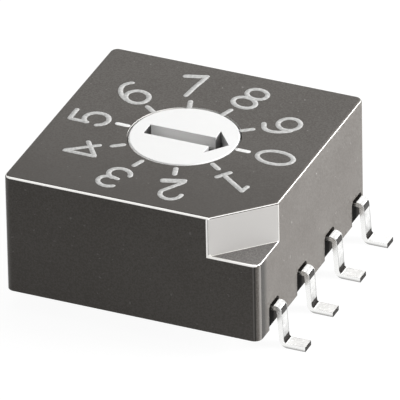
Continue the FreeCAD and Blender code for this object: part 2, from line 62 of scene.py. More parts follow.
# %% [markdown]
# ## Strokes as swept ribbons
#
# Pad-printed ink lies on the plastic as a low, slightly crowned ribbon. It could be a flat text object,
# but a stencil face has no crown and its own stroke ends. Here each stroke is a profile carried along a
# path: across the stroke the ink's height is a parabola, and the path's two ends are closed by half
# circles, so the whole ribbon is one grid of points worked out with numpy.

# %% Sweep a stroke
INK_WIDTH = 0.215 * MM
INK_HEIGHT = 0.014 * MM
POINTS_ACROSS = 9
ACROSS = np.linspace(-1.0, 1.0, POINTS_ACROSS)
STEPS_IN_HALF_WIDTH = 3
CAP_POINTS = 6


def resample(path, step):
    """Points at equal distances along a path, by linear interpolation over its running length."""
    leaps = np.linalg.norm(np.diff(path, axis=0), axis=1)
    run = np.concatenate([[0.0], np.cumsum(leaps)])
    count = max(int(round(run[-1] / step)), 2) + 1
    wanted = np.linspace(0.0, run[-1], count)
    return np.stack([np.interp(wanted, run, path[:, axis]) for axis in range(2)], axis=1)


def ribbon(path, width, height, lift):
    """Grid (u, v): the path's point at u, moved sideways by v times the half width.

    Past each end the path runs on for a half width, and there the sideways reach follows a half circle.
    The height is lift + height * (1 - v squared), scaled down to nothing at the tips.
    """
    half = width / 2
    path = resample(path, half / STEPS_IN_HALF_WIDTH)
    along = np.gradient(path, axis=0)
    along /= np.linalg.norm(along, axis=1, keepdims=True)
    turn = np.linspace(np.pi / 2, 0.0, CAP_POINTS + 1)[1:]
    cap_run = half * np.cos(turn)
    cap_reach = np.sin(turn)
    head = path[0] - cap_run[::-1, None] * along[0]
    tail = path[-1] + cap_run[:, None] * along[-1]
    spine = np.concatenate([head, path, tail])
    reach = np.concatenate([cap_reach[::-1], np.ones(len(path)), cap_reach])[:, None]
    first, last = (np.repeat(along[end][None], CAP_POINTS, 0) for end in (0, -1))
    heading = np.concatenate([first, along, last])
    side = np.stack([-heading[:, 1], heading[:, 0]], axis=1)
    flat = spine[:, None, :] + (ACROSS * reach * half)[..., None] * side[:, None, :]
    rise = lift + height * (1.0 - ACROSS ** 2) * reach
    return np.concatenate([flat, rise[..., None]], axis=2)


def grid_faces(rows, columns, first):
    """The four-cornered faces of a grid of points, wound so that they look along +Z."""
    row, column = np.mgrid[0:rows - 1, 0:columns - 1]
    corner = first + row * columns + column
    return np.stack([corner, corner + columns, corner + columns + 1, corner + 1], axis=-1).reshape(-1, 4)


print(f"ink {INK_WIDTH / MM:.2f} mm wide and {INK_HEIGHT / MM:.3f} mm high")

# %% [markdown]
# ## The ten digits
#
# The digits are plain rounded figures, about 1.6 mm high, made of straight lines and parts of ellipses.
# Each one is drawn upright round its own centre, with u to the right and v upwards, in millimetres. The
# foot of the 2 and the bar of the 7 are printed thicker, so they are two strokes side by side.

# %% Draw the digits
ARC_POINTS = 49


def arc(centre, radii, start, end):
    """Part of an ellipse: centre + (rx cos a, ry sin a), for a from start to end degrees."""
    angle = np.radians(np.linspace(start, end, ARC_POINTS))
    return np.stack([centre[0] + radii[0] * np.cos(angle), centre[1] + radii[1] * np.sin(angle)], axis=1)


def line(*corners):
    """Straight runs between corners."""
    return np.array(corners, dtype=float)


def join(*runs):
    """One path out of several that follow each other."""
    return np.concatenate(runs)


DIGITS = {
    0: [arc((0.075, 0.005), (0.43, 0.67), 90, 450)],
    1: [
        line((-0.17, 0.56), (0.12, 0.69)),
        line((0.12, 0.69), (0.1, -0.62)),
        line((-0.16, -0.61), (0.36, -0.61)),
    ],
    2: [
        join(arc((0.06, 0.28), (0.385, 0.375), 165, -32), line((-0.31, -0.5))),
        line((-0.33, -0.56), (0.42, -0.56)),
        line((-0.33, -0.64), (0.42, -0.64)),
    ],
    3: [
        join(arc((0.05, 0.345), (0.38, 0.325), 155, -90), line((-0.1, 0.02))),
        arc((0.06, -0.29), (0.41, 0.355), 82, -160),
    ],
    4: [line((0.215, -0.61), (0.215, 0.67), (-0.49, -0.29), (0.55, -0.29))],
    5: [
        line((0.42, 0.69), (-0.23, 0.69), (-0.25, 0.02)),
        arc((0.075, -0.23), (0.42, 0.45), 142, -158),
    ],
    6: [
        arc((0.25, -0.2), (0.6, 0.93), 72, 182),
        arc((0.09, -0.28), (0.41, 0.445), 180, 540),
    ],
    7: [
        line((-0.29, 0.745), (0.48, 0.745)),
        line((-0.29, 0.7), (0.47, 0.7), (0.31, 0.36), (0.11, -0.03), (-0.15, -0.64)),
    ],
    8: [
        arc((0.05, 0.39), (0.4, 0.33), -90, 270),
        arc((0.075, -0.345), (0.445, 0.345), 90, 450),
    ],
    9: [
        arc((0.04, 0.285), (0.41, 0.405), 0, 360),
        join(arc((0.06, 0.1), (0.45, 0.74), 8, -98), line((-0.24, -0.58))),
    ],
}
print("strokes in each digit:", [len(strokes) for strokes in DIGITS.values()])

# %% [markdown]
# ## Placing the print
#
# Position k lies k steps of 36 degrees clockwise from +X, and every digit stands with its head outwards.
# So a digit's own v axis becomes the direction away from the rotor, and its u axis the one to its right.
#
# A printing pad is seldom quite in register with the moulding: here the whole dial lies a tenth of a
# millimetre towards the front, and the ticks are turned by one degree against the digits.

# %% Find a position's directions
POSITIONS = 10
STEP = 360.0 / POSITIONS
DIAL_CENTRE = np.array([-0.02, -0.11]) * MM
TICK_TURN = -1.1


def outward(position, turn=0.0):
    """The unit vectors away from the rotor and to the right of it, seen from above, at a position."""
    angle = np.radians(turn - STEP * position)
    away = np.array([np.cos(angle), np.sin(angle)])
    return away, np.array([away[1], -away[0]])


print("position 1 lies towards", np.round(outward(1)[0], 3))

# %% [markdown]
# ## Making the print
#
# Every digit and every tick is one mesh, so each can be picked by its name. Thin shells above the plastic
# would do too, but ink with a gap under it seems to float, so the ribbons start a hair below the top face.
# Where strokes of one digit cross, each lies a hair higher than the last, as faces in one plane would
# flicker.

# %% Make the dial's meshes
DIGIT_RADIUS = 3.6 * MM
TICK_START = 2.04 * MM
TICK_END = 2.65 * MM
TICK_WIDTH = 0.23 * MM
SINK = 0.004 * MM
STACK = 0.001 * MM


def print_piece(name, paths, width):
    """One mesh of inked strokes on the top face, each a hair higher than the last where they cross."""
    points = []
    faces = []
    count = 0
    for order, path in enumerate(paths):
        grid = ribbon(path + DIAL_CENTRE, width, INK_HEIGHT, TOP - SINK + order * STACK)
        rows, columns = grid.shape[:2]
        faces.append(grid_faces(rows, columns, count))
        points.append(grid.reshape(-1, 3))
        count += rows * columns
    mesh = bpy.data.meshes.new(name)
    mesh.from_pydata(np.concatenate(points), [], np.concatenate(faces).tolist())
    mesh.polygons.foreach_set("use_smooth", np.ones(len(mesh.polygons), dtype=bool))
    mesh.update()
    piece = bpy.data.objects.new(name, mesh)
    bpy.context.scene.collection.objects.link(piece)
    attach(piece, "body")
    return piece


legend = []
for digit, strokes in DIGITS.items():
    away, right = outward(digit)
    turned = [stroke[:, :1] * right + stroke[:, 1:] * away for stroke in strokes]
    placed = [DIGIT_RADIUS * away + MM * stroke for stroke in turned]
    legend.append(print_piece(f"digit_{digit}", placed, INK_WIDTH))
cap = TICK_WIDTH / 2
for position in range(POSITIONS):
    tick = np.array([TICK_START + cap, TICK_END - cap])[:, None] * outward(position, TICK_TURN)[0]
    legend.append(print_piece(f"tick_{position}", [tick], TICK_WIDTH))
print("printed pieces:", [piece.name for piece in legend])

# %% [markdown]
# ## A small kit for node materials
#
# Every finish below is a Principled shader whose colour, roughness and bump come from noise in Object
# coordinates. The frame's objects all sit at the origin, so these coordinates are the part's own metres,
# and a grain of 0.1 mm is a noise scale of 10 000. Pictures wrapped round the parts would be another way,
# but they blur close up and need unwrapping.

# %% Sockets, materials and noise


def feed(tree, target, value):
    """Puts a number or a colour into a socket, or links another node's output to it."""
    if isinstance(value, tuple):
        target.default_value = (*value, 1.0)
    elif isinstance(value, (int, float)):
        target.default_value = value
    else:
        tree.links.new(value, target)


def material(name, color, roughness, metallic=0.0, specular=0.5):
    """A Principled material and the parts of its node tree that later cells reach for."""
    made = bpy.data.materials.new(name)
    made.use_nodes = True
    tree = made.node_tree
    shader = next(node for node in tree.nodes if node.type == "BSDF_PRINCIPLED")
    feed(tree, shader.inputs["Base Color"], color)
    feed(tree, shader.inputs["Roughness"], roughness)
    feed(tree, shader.inputs["Metallic"], metallic)
    feed(tree, shader.inputs["Specular IOR Level"], specular)
    return made, tree, shader


def coordinates(tree):
    """The part's own metres."""
    return tree.nodes.new("ShaderNodeTexCoord").outputs["Object"]


def noise(tree, size, detail):
    """Smooth noise from 0 to 1 whose grains are about size metres across, with finer layers by detail."""
    node = tree.nodes.new("ShaderNodeTexNoise")
    node.inputs["Scale"].default_value = 1.0 / size
    node.inputs["Detail"].default_value = detail
    tree.links.new(coordinates(tree), node.inputs["Vector"])
    return node.outputs["Fac"]


print("sockets, materials and noise ready")

# %% [markdown]
# ## Sums and masks
#
# A frame node is one mesh, but its faces and edges differ. A mask says where a tone belongs: it is 1 there
# and 0 elsewhere, worked out from a point's place with plain arithmetic. Masks are joined like words:
# "every" of them, or "either" of them.

# %% Arithmetic with values
SLACK = 0.01 * MM
NOISE_SPAN = (0.3, 0.7)
NOISE_CORE = (0.35, 0.65)


def maths(tree, operation, first, second=0.0):
    """One step of arithmetic."""
    node = tree.nodes.new("ShaderNodeMath")
    node.operation = operation
    feed(tree, node.inputs[0], first)
    feed(tree, node.inputs[1], second)
    return node.outputs[0]


def less(tree, first, second):
    """The first value less the second."""
    return maths(tree, "SUBTRACT", first, second)


def product(tree, first, second):
    """Two values multiplied."""
    return maths(tree, "MULTIPLY", first, second)


def hypotenuse(tree, first, second):
    """The root of the sum of two squares: how far a point lies from an axis, say."""
    squares = [maths(tree, "POWER", value, 2.0) for value in (first, second)]
    return maths(tree, "SQRT", maths(tree, "ADD", *squares))


def remap(tree, value, old, new=(0.0, 1.0)):
    """Stretches one range, a pair of numbers, to another and clips what is outside."""
    node = tree.nodes.new("ShaderNodeMapRange")
    for socket, number in zip(("From Min", "From Max", "To Min", "To Max"), (*old, *new)):
        node.inputs[socket].default_value = number
    tree.links.new(value, node.inputs["Value"])
    return node.outputs["Result"]


def axes(tree):
    """The three coordinates of a point, each on its own."""
    node = tree.nodes.new("ShaderNodeSeparateXYZ")
    tree.links.new(coordinates(tree), node.inputs["Vector"])
    return node.outputs["X"], node.outputs["Y"], node.outputs["Z"]


print(f"a place counts as met within {SLACK / MM:.2f} mm")

# %% Masks


def below(tree, value, limit):
    """1 where the value is less than a limit."""
    return maths(tree, "LESS_THAN", value, limit)


def beyond(tree, value, limit):
    """1 where the value is more than a limit."""
    return maths(tree, "GREATER_THAN", value, limit)


def between(tree, value, low, high):
    """1 where the value lies between two limits."""
    return product(tree, beyond(tree, value, low), below(tree, value, high))


def near(tree, value, place, reach=SLACK):
    """1 where the value lies within reach of a place."""
    return between(tree, value, place - reach, place + reach)


def every(tree, *masks):
    """1 where all the masks are 1."""
    joined = masks[0]
    for mask in masks[1:]:
        joined = product(tree, joined, mask)
    return joined


def either(tree, *masks):
    """1 where any of the masks is 1; of partial masks, the strongest."""
    joined = masks[0]
    for mask in masks[1:]:
        joined = maths(tree, "MAXIMUM", joined, mask)
    return joined


def switch(tree, mask, off, on):
    """One number where a mask is 0 and another where it is 1."""
    return remap(tree, mask, (0.0, 1.0), (off, on))


print("masks ready")

# %% [markdown]
# ## Colours and relief
#
# A mix node lays one colour over another where a mask asks for it, and a bump node tilts the surface's
# shading by a height, which costs far less than real dents in the mesh.

# %% Blend colours and raise a relief


def blend_colors(tree, factor, first, second):
    """first where factor is 0, second where it is 1; each a colour or another node's output."""
    node = tree.nodes.new("ShaderNodeMix")
    node.data_type = "RGBA"
    feed(tree, node.inputs["Factor"], factor)
    feed(tree, node.inputs["A"], first)
    feed(tree, node.inputs["B"], second)
    return node.outputs["Result"]


def bump(tree, shader, height, strength, distance):
    """Raises the surface by height, from 0 to 1, times distance in metres."""
    node = tree.nodes.new("ShaderNodeBump")
    node.inputs["Strength"].default_value = strength
    node.inputs["Distance"].default_value = distance
    tree.links.new(height, node.inputs["Height"])
    tree.links.new(node.outputs["Normal"], shader.inputs["Normal"])


print("colours and relief ready")

# %% [markdown]
# ## The housing's plastic
#
# Housings like this one are usually moulded in a glass-filled plastic. It is a warm black with a fine matt
# grain that scatters light, and tiny pale specks of filler or dust lie in it. One noise alone looks like
# sand or like fog, so a fine grain and a wide cloud are mixed to a mottle between two blacks.

# %% Plain skin of the housing
BLACK_PLASTIC = (0.056, 0.050, 0.045)
PALER_PLASTIC = (0.090, 0.084, 0.078)
DUST_COLOR = (0.3, 0.29, 0.28)
GRAIN_SIZE = 0.06 * MM
CLOUD_SIZE = 2.2 * MM
DUST_SIZE = 0.16 * MM
GRAIN_SHARE = 0.8
CLOUD_SHARE = 0.2
MOTTLE_RANGE = (0.41, 0.59)
DUST_RANGE = (0.745, 0.78)
DUST_STRENGTH = 0.4

plastic, tree, shader = material("housing_plastic", BLACK_PLASTIC, roughness=0.4, specular=0.32)
grain = noise(tree, GRAIN_SIZE, detail=3.0)
cloud = noise(tree, CLOUD_SIZE, detail=3.0)
mottle = maths(tree, "ADD", product(tree, grain, GRAIN_SHARE), product(tree, cloud, CLOUD_SHARE))
skin = blend_colors(tree, remap(tree, mottle, MOTTLE_RANGE), BLACK_PLASTIC, PALER_PLASTIC)
dust = remap(tree, noise(tree, DUST_SIZE, detail=1.0), DUST_RANGE, (0.0, DUST_STRENGTH))
skin = blend_colors(tree, dust, skin, DUST_COLOR)
print(f"grain {GRAIN_SIZE / MM:.2f} mm, cloud {CLOUD_SIZE / MM:.1f} mm")

# %% [markdown]
# ## Where a point of the housing lies
#
# Four distances in the part's own metres tell one face from another: from the outline inwards, from the top
# downwards, from the cut corner's wall backwards, and from its ledge upwards. A face is where one of them is
# nothing, and an edge is where two are. They could be painted on the vertices instead, but a big flat face
# has vertices only at its corners.

# %% Distances on the housing
NOTCH_LEG = 1.9 * MM
NOTCH_DEPTH = 1.57 * MM
CORNER_RADIUS = 0.3 * MM
DIAGONAL = 0.5 ** 0.5

x, y, z = axes(tree)
straight = SIDE / 2 - CORNER_RADIUS
past_x, past_y = (
    maths(tree, "MAXIMUM", less(tree, maths(tree, "ABSOLUTE", value), straight), 0.0)
    for value in (x, y)
)
inset = less(tree, CORNER_RADIUS, hypotenuse(tree, past_x, past_y))
depth = less(tree, TOP, z)
behind = product(tree, less(tree, SIDE - NOTCH_LEG, less(tree, x, y)), DIAGONAL)
above = less(tree, NOTCH_DEPTH, depth)
print(f"cut corner {NOTCH_LEG / MM:.1f} mm along each side and {NOTCH_DEPTH / MM:.2f} mm deep")

# %% [markdown]
# ## Tones of the housing's faces
#
# The cut corner's wall gets a painted sheen, paler than the rest, and its ledge a stronger grain.
# The top gets painted shade, darker towards the front, and so does the front wall: a third black
# is mixed in there. The bore is pale, as painted light, so that no dark gap shows round the rotor,
# although the real one is likely as black as the rest. These painted tones stay the same from every
# side. A material for each face would need slots on single faces, so one material lays tone over
# tone instead, each within its own mask.

# %% Faces of the housing
FRONT_PAINTED_SHADE = (0.030, 0.026, 0.023)
FRONT_SHADE_RANGE = (-SIDE / 2, 1.2 * MM)
FRONT_SHADE_ON_TOP = 0.62
FRONT_SHADE_ON_FRONT = 0.2
BORE_PAINTED_LIGHT = (0.7, 0.69, 0.67)
BORE_RADIUS = 2.05 * MM
NOTCH_WALL_PAINTED_SHEEN = (0.408, 0.398, 0.388)
LEDGE_DARK = (0.105, 0.1, 0.096)
LEDGE_PALE = (0.19, 0.182, 0.176)

on_top = below(tree, depth, SLACK)
on_front_face = below(tree, y, SLACK - SIDE / 2)
# Painted shade: the top and the front wall grow darker towards the front.
towards_front = remap(tree, y, FRONT_SHADE_RANGE, (FRONT_SHADE_ON_TOP, 0.0))
front_shade = either(tree, every(tree, on_top, towards_front), product(tree, on_front_face, FRONT_SHADE_ON_FRONT))
skin = blend_colors(tree, front_shade, skin, FRONT_PAINTED_SHADE)

# Painted light: the bore is pale, so no shade shows in the gap round the rotor.
within = below(tree, hypotenuse(tree, x, y), BORE_RADIUS + SLACK)
in_bore = every(tree, within, beyond(tree, depth, SLACK / 2))
skin = blend_colors(tree, in_bore, skin, BORE_PAINTED_LIGHT)

# Painted sheen: the cut corner's wall is paler than the rest of the housing.
notch_wall = every(tree, near(tree, behind, 0.0), beyond(tree, above, SLACK))
skin = blend_colors(tree, notch_wall, skin, NOTCH_WALL_PAINTED_SHEEN)

ledge = every(tree, below(tree, behind, -SLACK), near(tree, above, 0.0))
ledge_grain = remap(tree, noise(tree, GRAIN_SIZE, detail=1.0), NOISE_CORE)
ledge_tone = blend_colors(tree, ledge_grain, LEDGE_DARK, LEDGE_PALE)
skin = blend_colors(tree, ledge, skin, ledge_tone)
print("tones for the top, the front, the bore, the notch's wall and its ledge")

# %% [markdown]
# ## Edge lines
#
# Where two faces of a moulding meet, the sharp edge catches the light as a thin pale line. A bevel would do
# it too, but the frame's meshes stay as they are, so each line is a narrow mask along its edge. The lines
# at the front look wider than those at the side, so they have a width of their own.

# %% Edge lines of the housing
EDGE_COLOR = (0.84, 0.83, 0.81)
FRONT_STRIP = 0.1 * MM
FRONT_LINE = 0.068 * MM
SIDE_LINE = 0.045 * MM
LEDGE_LINE = 0.024 * MM
THIN_LINE = 0.014 * MM
FOLD_LINE = 0.058 * MM

at_front = below(tree, y, FRONT_STRIP - SIDE / 2)
top_line = switch(tree, at_front, SIDE_LINE, FRONT_LINE)
rim_line = switch(tree, at_front, LEDGE_LINE, FRONT_LINE)
from_ledge = maths(tree, "ABSOLUTE", above)
at_wall = near(tree, behind, 0.0, THIN_LINE)
edge_masks = {
    "outline of the top": [
        below(tree, depth, top_line),
        beyond(tree, behind, -SLACK),
        below(tree, inset, top_line),
    ],
    "crest of the notch": [below(tree, depth, SIDE_LINE), below(tree, behind, SIDE_LINE)],
    "rim of the ledge": [
        below(tree, from_ledge, rim_line),
        below(tree, inset, rim_line),
        below(tree, behind, SLACK),
    ],
    "back end of the wall": [
        beyond(tree, above, -SLACK),
        at_wall,
        beyond(tree, x, SIDE / 2 - THIN_LINE),
    ],
    "foot of the wall": [near(tree, above, 0.0, THIN_LINE), at_wall],
    "front end of the wall": [
        on_front_face,
        beyond(tree, above, -FRONT_LINE),
        between(tree, behind, THIN_LINE, FOLD_LINE),
    ],
}
edges = either(tree, *(every(tree, *masks) for masks in edge_masks.values()))
skin = blend_colors(tree, edges, skin, EDGE_COLOR)
print("edge lines:", ", ".join(edge_masks))

# %% [markdown]
# ## Painted dark reflections under the notch
#
# Below the notch there are two upright dark bands: one on the rounded corner, between two angles from the
# front, and one just past it, which fades out along the side. Both are painted dark reflections, and the
# corner gets a painted sheen beside them. Dark cards round the switch could be mirrored there instead,
# but would show in the leads too. The angle comes from the same two distances as the outline.

# %% Painted dark reflections and sheen of the corner
DARK_REFLECTION_COLOR = (0.016, 0.015, 0.014)
SHINE_COLOR = (0.13, 0.124, 0.118)
DARK_BAND_ANGLES = (24.0, 33.0)
SHINE_ANGLES = ((14.0, 21.0), (58.0, 79.0))
SIDE_BAND_START = -0.05 * MM
SIDE_BAND_FADE = (0.17 * MM, 0.5 * MM)

# Painted dark reflections: a band on the rounded corner and one that fades out along the side.
below_ledge = below(tree, above, -FRONT_LINE)
around = maths(tree, "DEGREES", maths(tree, "ARCTAN2", past_x, past_y))
on_corner = every(tree, below_ledge, beyond(tree, x, 0.0), below(tree, y, 0.0))
corner_dark_band = every(tree, on_corner, between(tree, around, *DARK_BAND_ANGLES))

past_corner = maths(tree, "ADD", y, straight)
on_side_face = beyond(tree, x, SIDE / 2 - SLACK)
on_side = every(tree, below_ledge, on_side_face, beyond(tree, past_corner, SIDE_BAND_START))
side_dark_band = every(tree, on_side, remap(tree, past_corner, SIDE_BAND_FADE, (1.0, 0.0)))
skin = blend_colors(tree, either(tree, corner_dark_band, side_dark_band), skin, DARK_REFLECTION_COLOR)

# Painted sheen on the corner beside the dark bands.
beside = either(tree, *(between(tree, around, *angles) for angles in SHINE_ANGLES))
skin = blend_colors(tree, every(tree, on_corner, beside), skin, SHINE_COLOR)
print("flow line on the corner from", DARK_BAND_ANGLES[0], "to", DARK_BAND_ANGLES[1], "degrees")

# %% [markdown]
# ## Finishing the housing
#
# The skin is now one colour output. The same grain also varies the roughness and raises a faint relief, and
# the reflections are tinted a little warm. The edge lines count as metal, so that they mirror the bright
# room from every side instead of only taking the lamps' light.

# %% Finish the housing's shader
WARM = (1.0, 0.96, 0.89)
ROUGHNESS_RANGE = (0.34, 0.46)

feed(tree, shader.inputs["Base Color"], skin)
feed(tree, shader.inputs["Specular Tint"], WARM)
feed(tree, shader.inputs["Metallic"], edges)
feed(tree, shader.inputs["Roughness"], remap(tree, grain, NOISE_SPAN, ROUGHNESS_RANGE))
bump(tree, shader, grain, strength=0.3, distance=0.004 * MM)
print("housing plastic made with", len(tree.nodes), "nodes")

# %% [markdown]
# ## The rotor's plastic
#
# The rotor is moulded in plain white. Its arrow slot gets painted light and shade: the long walls light,
# the floor dark, the arrow's head grey and the wall at the tail almost black. A lamp placed for the slot
# would change every other face too, so the light and shade are painted in. Height and place say which
# tone a point gets, as on the housing.

# %% Rotor material
ROTOR_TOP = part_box("rotor")[1][2]
WHITE_PLASTIC = (0.8, 0.8, 0.794)
FACE_DARK = (0.785, 0.785, 0.778)
FACE_PALE = (0.815, 0.815, 0.81)
FACE_CLOUD_SIZE = 0.6 * MM
FACE_GRAIN_SIZE = 0.08 * MM
WALL_TOP_PAINTED_LIGHT = (0.98, 0.975, 0.97)
WALL_FOOT_PAINTED_LIGHT = (0.92, 0.915, 0.91)
FLOOR_PAINTED_SHADE = (0.24, 0.236, 0.23)
HEAD_PAINTED_SHADE = (0.2, 0.197, 0.192)
HEAD_SHADE_SHARE = 0.36
HEAD_SIDE = 0.05 * MM
SLOT_REACH = 1.8 * MM
SLOT_DEPTH = 0.6 * MM
WALL_RANGE = (0.1 * MM, 0.5 * MM)
FLOOR_RANGE = (0.4 * MM, 0.52 * MM)
SLOT_TAIL = -1.45 * MM
ARROW_BASE = 1.07 * MM
END_SHADE_TONES = {SLOT_TAIL: 0.028, ARROW_BASE: 0.38}

white, tree, shader = material("rotor_plastic", WHITE_PLASTIC, roughness=0.42, specular=0.3)
face = blend_colors(tree, noise(tree, FACE_CLOUD_SIZE, detail=2.0), FACE_DARK, FACE_PALE)
x, y, z = axes(tree)
sunk = less(tree, ROTOR_TOP, z)
within = below(tree, hypotenuse(tree, x, y), SLOT_REACH)
in_slot = every(tree, within, between(tree, sunk, SLACK, SLOT_DEPTH + SLACK))
# Painted light on the slot's long walls, then painted shade on its floor, the arrow's head and its ends.
slot_light_and_shade = blend_colors(tree, remap(tree, sunk, WALL_RANGE), WALL_TOP_PAINTED_LIGHT, WALL_FOOT_PAINTED_LIGHT)
slot_light_and_shade = blend_colors(tree, remap(tree, sunk, FLOOR_RANGE), slot_light_and_shade, FLOOR_PAINTED_SHADE)
in_head = every(tree, beyond(tree, x, ARROW_BASE + SLACK), beyond(tree, y, HEAD_SIDE))
slot_light_and_shade = blend_colors(tree, product(tree, in_head, HEAD_SHADE_SHARE), slot_light_and_shade, HEAD_PAINTED_SHADE)
for place, tone in END_SHADE_TONES.items():
    slot_light_and_shade = blend_colors(tree, near(tree, x, place), slot_light_and_shade, (tone, tone, tone))
feed(tree, shader.inputs["Base Color"], blend_colors(tree, in_slot, face, slot_light_and_shade))
bump(tree, shader, noise(tree, FACE_GRAIN_SIZE, detail=2.0), strength=0.15, distance=0.003 * MM)
print(f"rotor plastic made, slot {SLOT_DEPTH / MM:.1f} mm deep")

# %% [markdown]
# ## The ink
#
# The ink is a light grey, laid unevenly over the plastic's grain. One flat grey would look cut from paper,
# so a noise blends two greys. The ticks of positions 0 and 5 look brighter than the rest, and come from the
# same function with two other tones.

# %% Ink materials
INK_PATCH = 0.1 * MM
INK_GRAIN = 0.05 * MM
BRIGHT_TICKS = (0, 5)


def make_ink(name, dark, pale):
    """Printed ink between two tones, with the roughness of the grain below it."""
    made, tree, shader = material(name, pale, roughness=0.5, specular=0.3)
    patch = remap(tree, noise(tree, INK_PATCH, detail=3.0), NOISE_CORE)
    feed(tree, shader.inputs["Base Color"], blend_colors(tree, patch, dark, pale))
    bump(tree, shader, noise(tree, INK_GRAIN, detail=2.0), strength=0.3, distance=0.003 * MM)
    return made


ink = make_ink("dial_ink", (0.4, 0.4, 0.392), (0.55, 0.55, 0.54))
bright_ink = make_ink("dial_ink_bright", (0.74, 0.74, 0.73), (0.84, 0.84, 0.83))
print("inks made:", ink.name, bright_ink.name)

# %% [markdown]
# ## Where a point of a lead lies
#
# Terminals like these are stamped from copper alloy, bent, and plated with tin. Each finish on them belongs
# to a place: how far out a point lies, how high, and how far from the middle of its strip. All leads stand
# on multiples of half a pitch, so a ping-pong of the Y coordinate gives the distance from the middle of the
# nearest one, and one material serves all five.

# %% Places on a lead
LEAD_OFFSET = 0.27 * MM
LEAD_PITCH = 2.54 * MM
LEAD_WIDTH = 0.53 * MM
LEAD_THICKNESS = 0.18 * MM
SHOULDER_HEIGHT = 1.65 * MM
LEAD_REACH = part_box("terminal_1")[1][0]
LEAD_HALF_WIDTH = LEAD_WIDTH / 2
SHOULDER = FEET + SHOULDER_HEIGHT
FOOT_TOP = FEET + LEAD_THICKNESS
LEG_START = SIDE / 2 + 0.3 * MM

tin, tree, shader = material("terminal_tin", (0.86, 0.86, 0.85), roughness=0.24, metallic=1.0)
x, y, z = axes(tree)
far_out = maths(tree, "ABSOLUTE", x)
from_middle = maths(tree, "PINGPONG", less(tree, y, LEAD_OFFSET), LEAD_PITCH / 4)
on_face = below(tree, from_middle, LEAD_HALF_WIDTH - SLACK)
on_leg = every(tree, on_face, beyond(tree, far_out, LEG_START))
print(f"leads reach {LEAD_REACH / MM:.2f} mm out, shoulders {SHOULDER / MM:.2f} mm high")

# %% [markdown]
# ## Dark ends, painted shade and painted dark reflections on the leads
#
# The sheared end of each foot is dark bare metal. Part of that may be a dark room in the mirror of the tin,
# but it is taken for bare metal and the rub of the bending tool. The outer face of each leg gets painted
# dark reflections of its bends: dark grey under the shoulder and almost black at the heel. The root of the
# shoulder gets painted shade, as it lies in the shade of its opening. Dark scraps of mesh could be laid on
# the leads, but a mask follows every bend.

# %% Dark ends, painted shade and painted dark reflections
SHOULDER_REFLECTION_HEIGHTS = (SHOULDER - 0.34 * MM, SHOULDER - 0.1 * MM)
SHOULDER_REFLECTION_EDGE = 0.03 * MM
HEEL_REFLECTION_HEIGHTS = (FOOT_TOP + SLACK, FOOT_TOP + 0.22 * MM)
SHADE_START = SHOULDER - 0.02 * MM
SHADE_END = SIDE / 2 + 0.09 * MM

cut_end = beyond(tree, far_out, LEAD_REACH - SLACK)
# Painted shade at the root of each shoulder.
shaded = every(tree, beyond(tree, z, SHADE_START), below(tree, far_out, SHADE_END))
# Painted dark reflections of the bends, at the heel and under the shoulder.
heel_reflection = every(tree, on_leg, between(tree, z, *HEEL_REFLECTION_HEIGHTS))
off_sides = below(tree, from_middle, LEAD_HALF_WIDTH - SHOULDER_REFLECTION_EDGE)
shoulder_reflection = every(tree, on_leg, between(tree, z, *SHOULDER_REFLECTION_HEIGHTS), off_sides)
black = either(tree, heel_reflection, shaded, cut_end)
dark = either(tree, black, shoulder_reflection)
print("dark marks: cut end, shade, heel, shoulder")

# %% [markdown]
# ## The leads' tin
#
# The plating is a bright, slightly milky metal. The outer face of a leg gets painted shade along its sides
# and, in streaks, above the heel. The sheared sides of the strip are bright, with painted shade along
# their lower edge, and the top of the foot is a little duller. Each of these is one more colour laid over
# the last, so any of them can be changed or left out without touching the others.

# %% Tin plating
TIN_DARK = (0.78, 0.78, 0.77)
TIN_PALE = (0.96, 0.96, 0.95)
TIN_HAZE_SIZE = 0.15 * MM
LEG_SHADE_COLOR = (0.1, 0.099, 0.097)
LEG_SHADE_HEIGHTS = (FOOT_TOP + SLACK, SHOULDER - 0.06 * MM)
SIDE_SHADE_RANGE = (LEAD_HALF_WIDTH - 0.08 * MM, LEAD_HALF_WIDTH - 0.02 * MM)
SIDE_SHADE = 0.65
HEEL_SHADE_RANGE = (FOOT_TOP + 0.2 * MM, FOOT_TOP + 0.65 * MM)
HEEL_SHADE = 0.6
STREAK_SIZE = 0.1 * MM
STREAK_RANGE = (0.4, 1.0)
STRIP_SIDE_COLOR = (0.93, 0.93, 0.92)
LOWER_EDGE_SHADE = (0.3, 0.297, 0.29)
LOWER_EDGE_SHADE_RANGE = (FEET + SLACK, FEET + 0.1 * MM)
FOOT_TOP_COLOR = (0.6, 0.595, 0.585)
FOOT_TOP_SHARE = 0.38

haze = remap(tree, noise(tree, TIN_HAZE_SIZE, detail=3.0), NOISE_SPAN)
plating = blend_colors(tree, haze, TIN_DARK, TIN_PALE)

# Painted shade on the outer face of a leg: along its sides and, in streaks, above the heel.
at_sides = remap(tree, from_middle, SIDE_SHADE_RANGE, (0.0, SIDE_SHADE))
at_heel = remap(tree, z, HEEL_SHADE_RANGE, (HEEL_SHADE, 0.0))
streaks = remap(tree, noise(tree, STREAK_SIZE, detail=2.0), NOISE_CORE, STREAK_RANGE)
leg_shade = either(tree, at_sides, product(tree, at_heel, streaks))
leg_face = every(tree, on_leg, between(tree, z, *LEG_SHADE_HEIGHTS))
plating = blend_colors(tree, every(tree, leg_face, leg_shade), plating, LEG_SHADE_COLOR)

# Painted shade along the lower edge of the strip's sheared sides.
lower_edge_shade = remap(tree, z, LOWER_EDGE_SHADE_RANGE, (1.0, 0.0))
strip_side = blend_colors(tree, lower_edge_shade, STRIP_SIDE_COLOR, LOWER_EDGE_SHADE)
plating = blend_colors(tree, on_face, strip_side, plating)

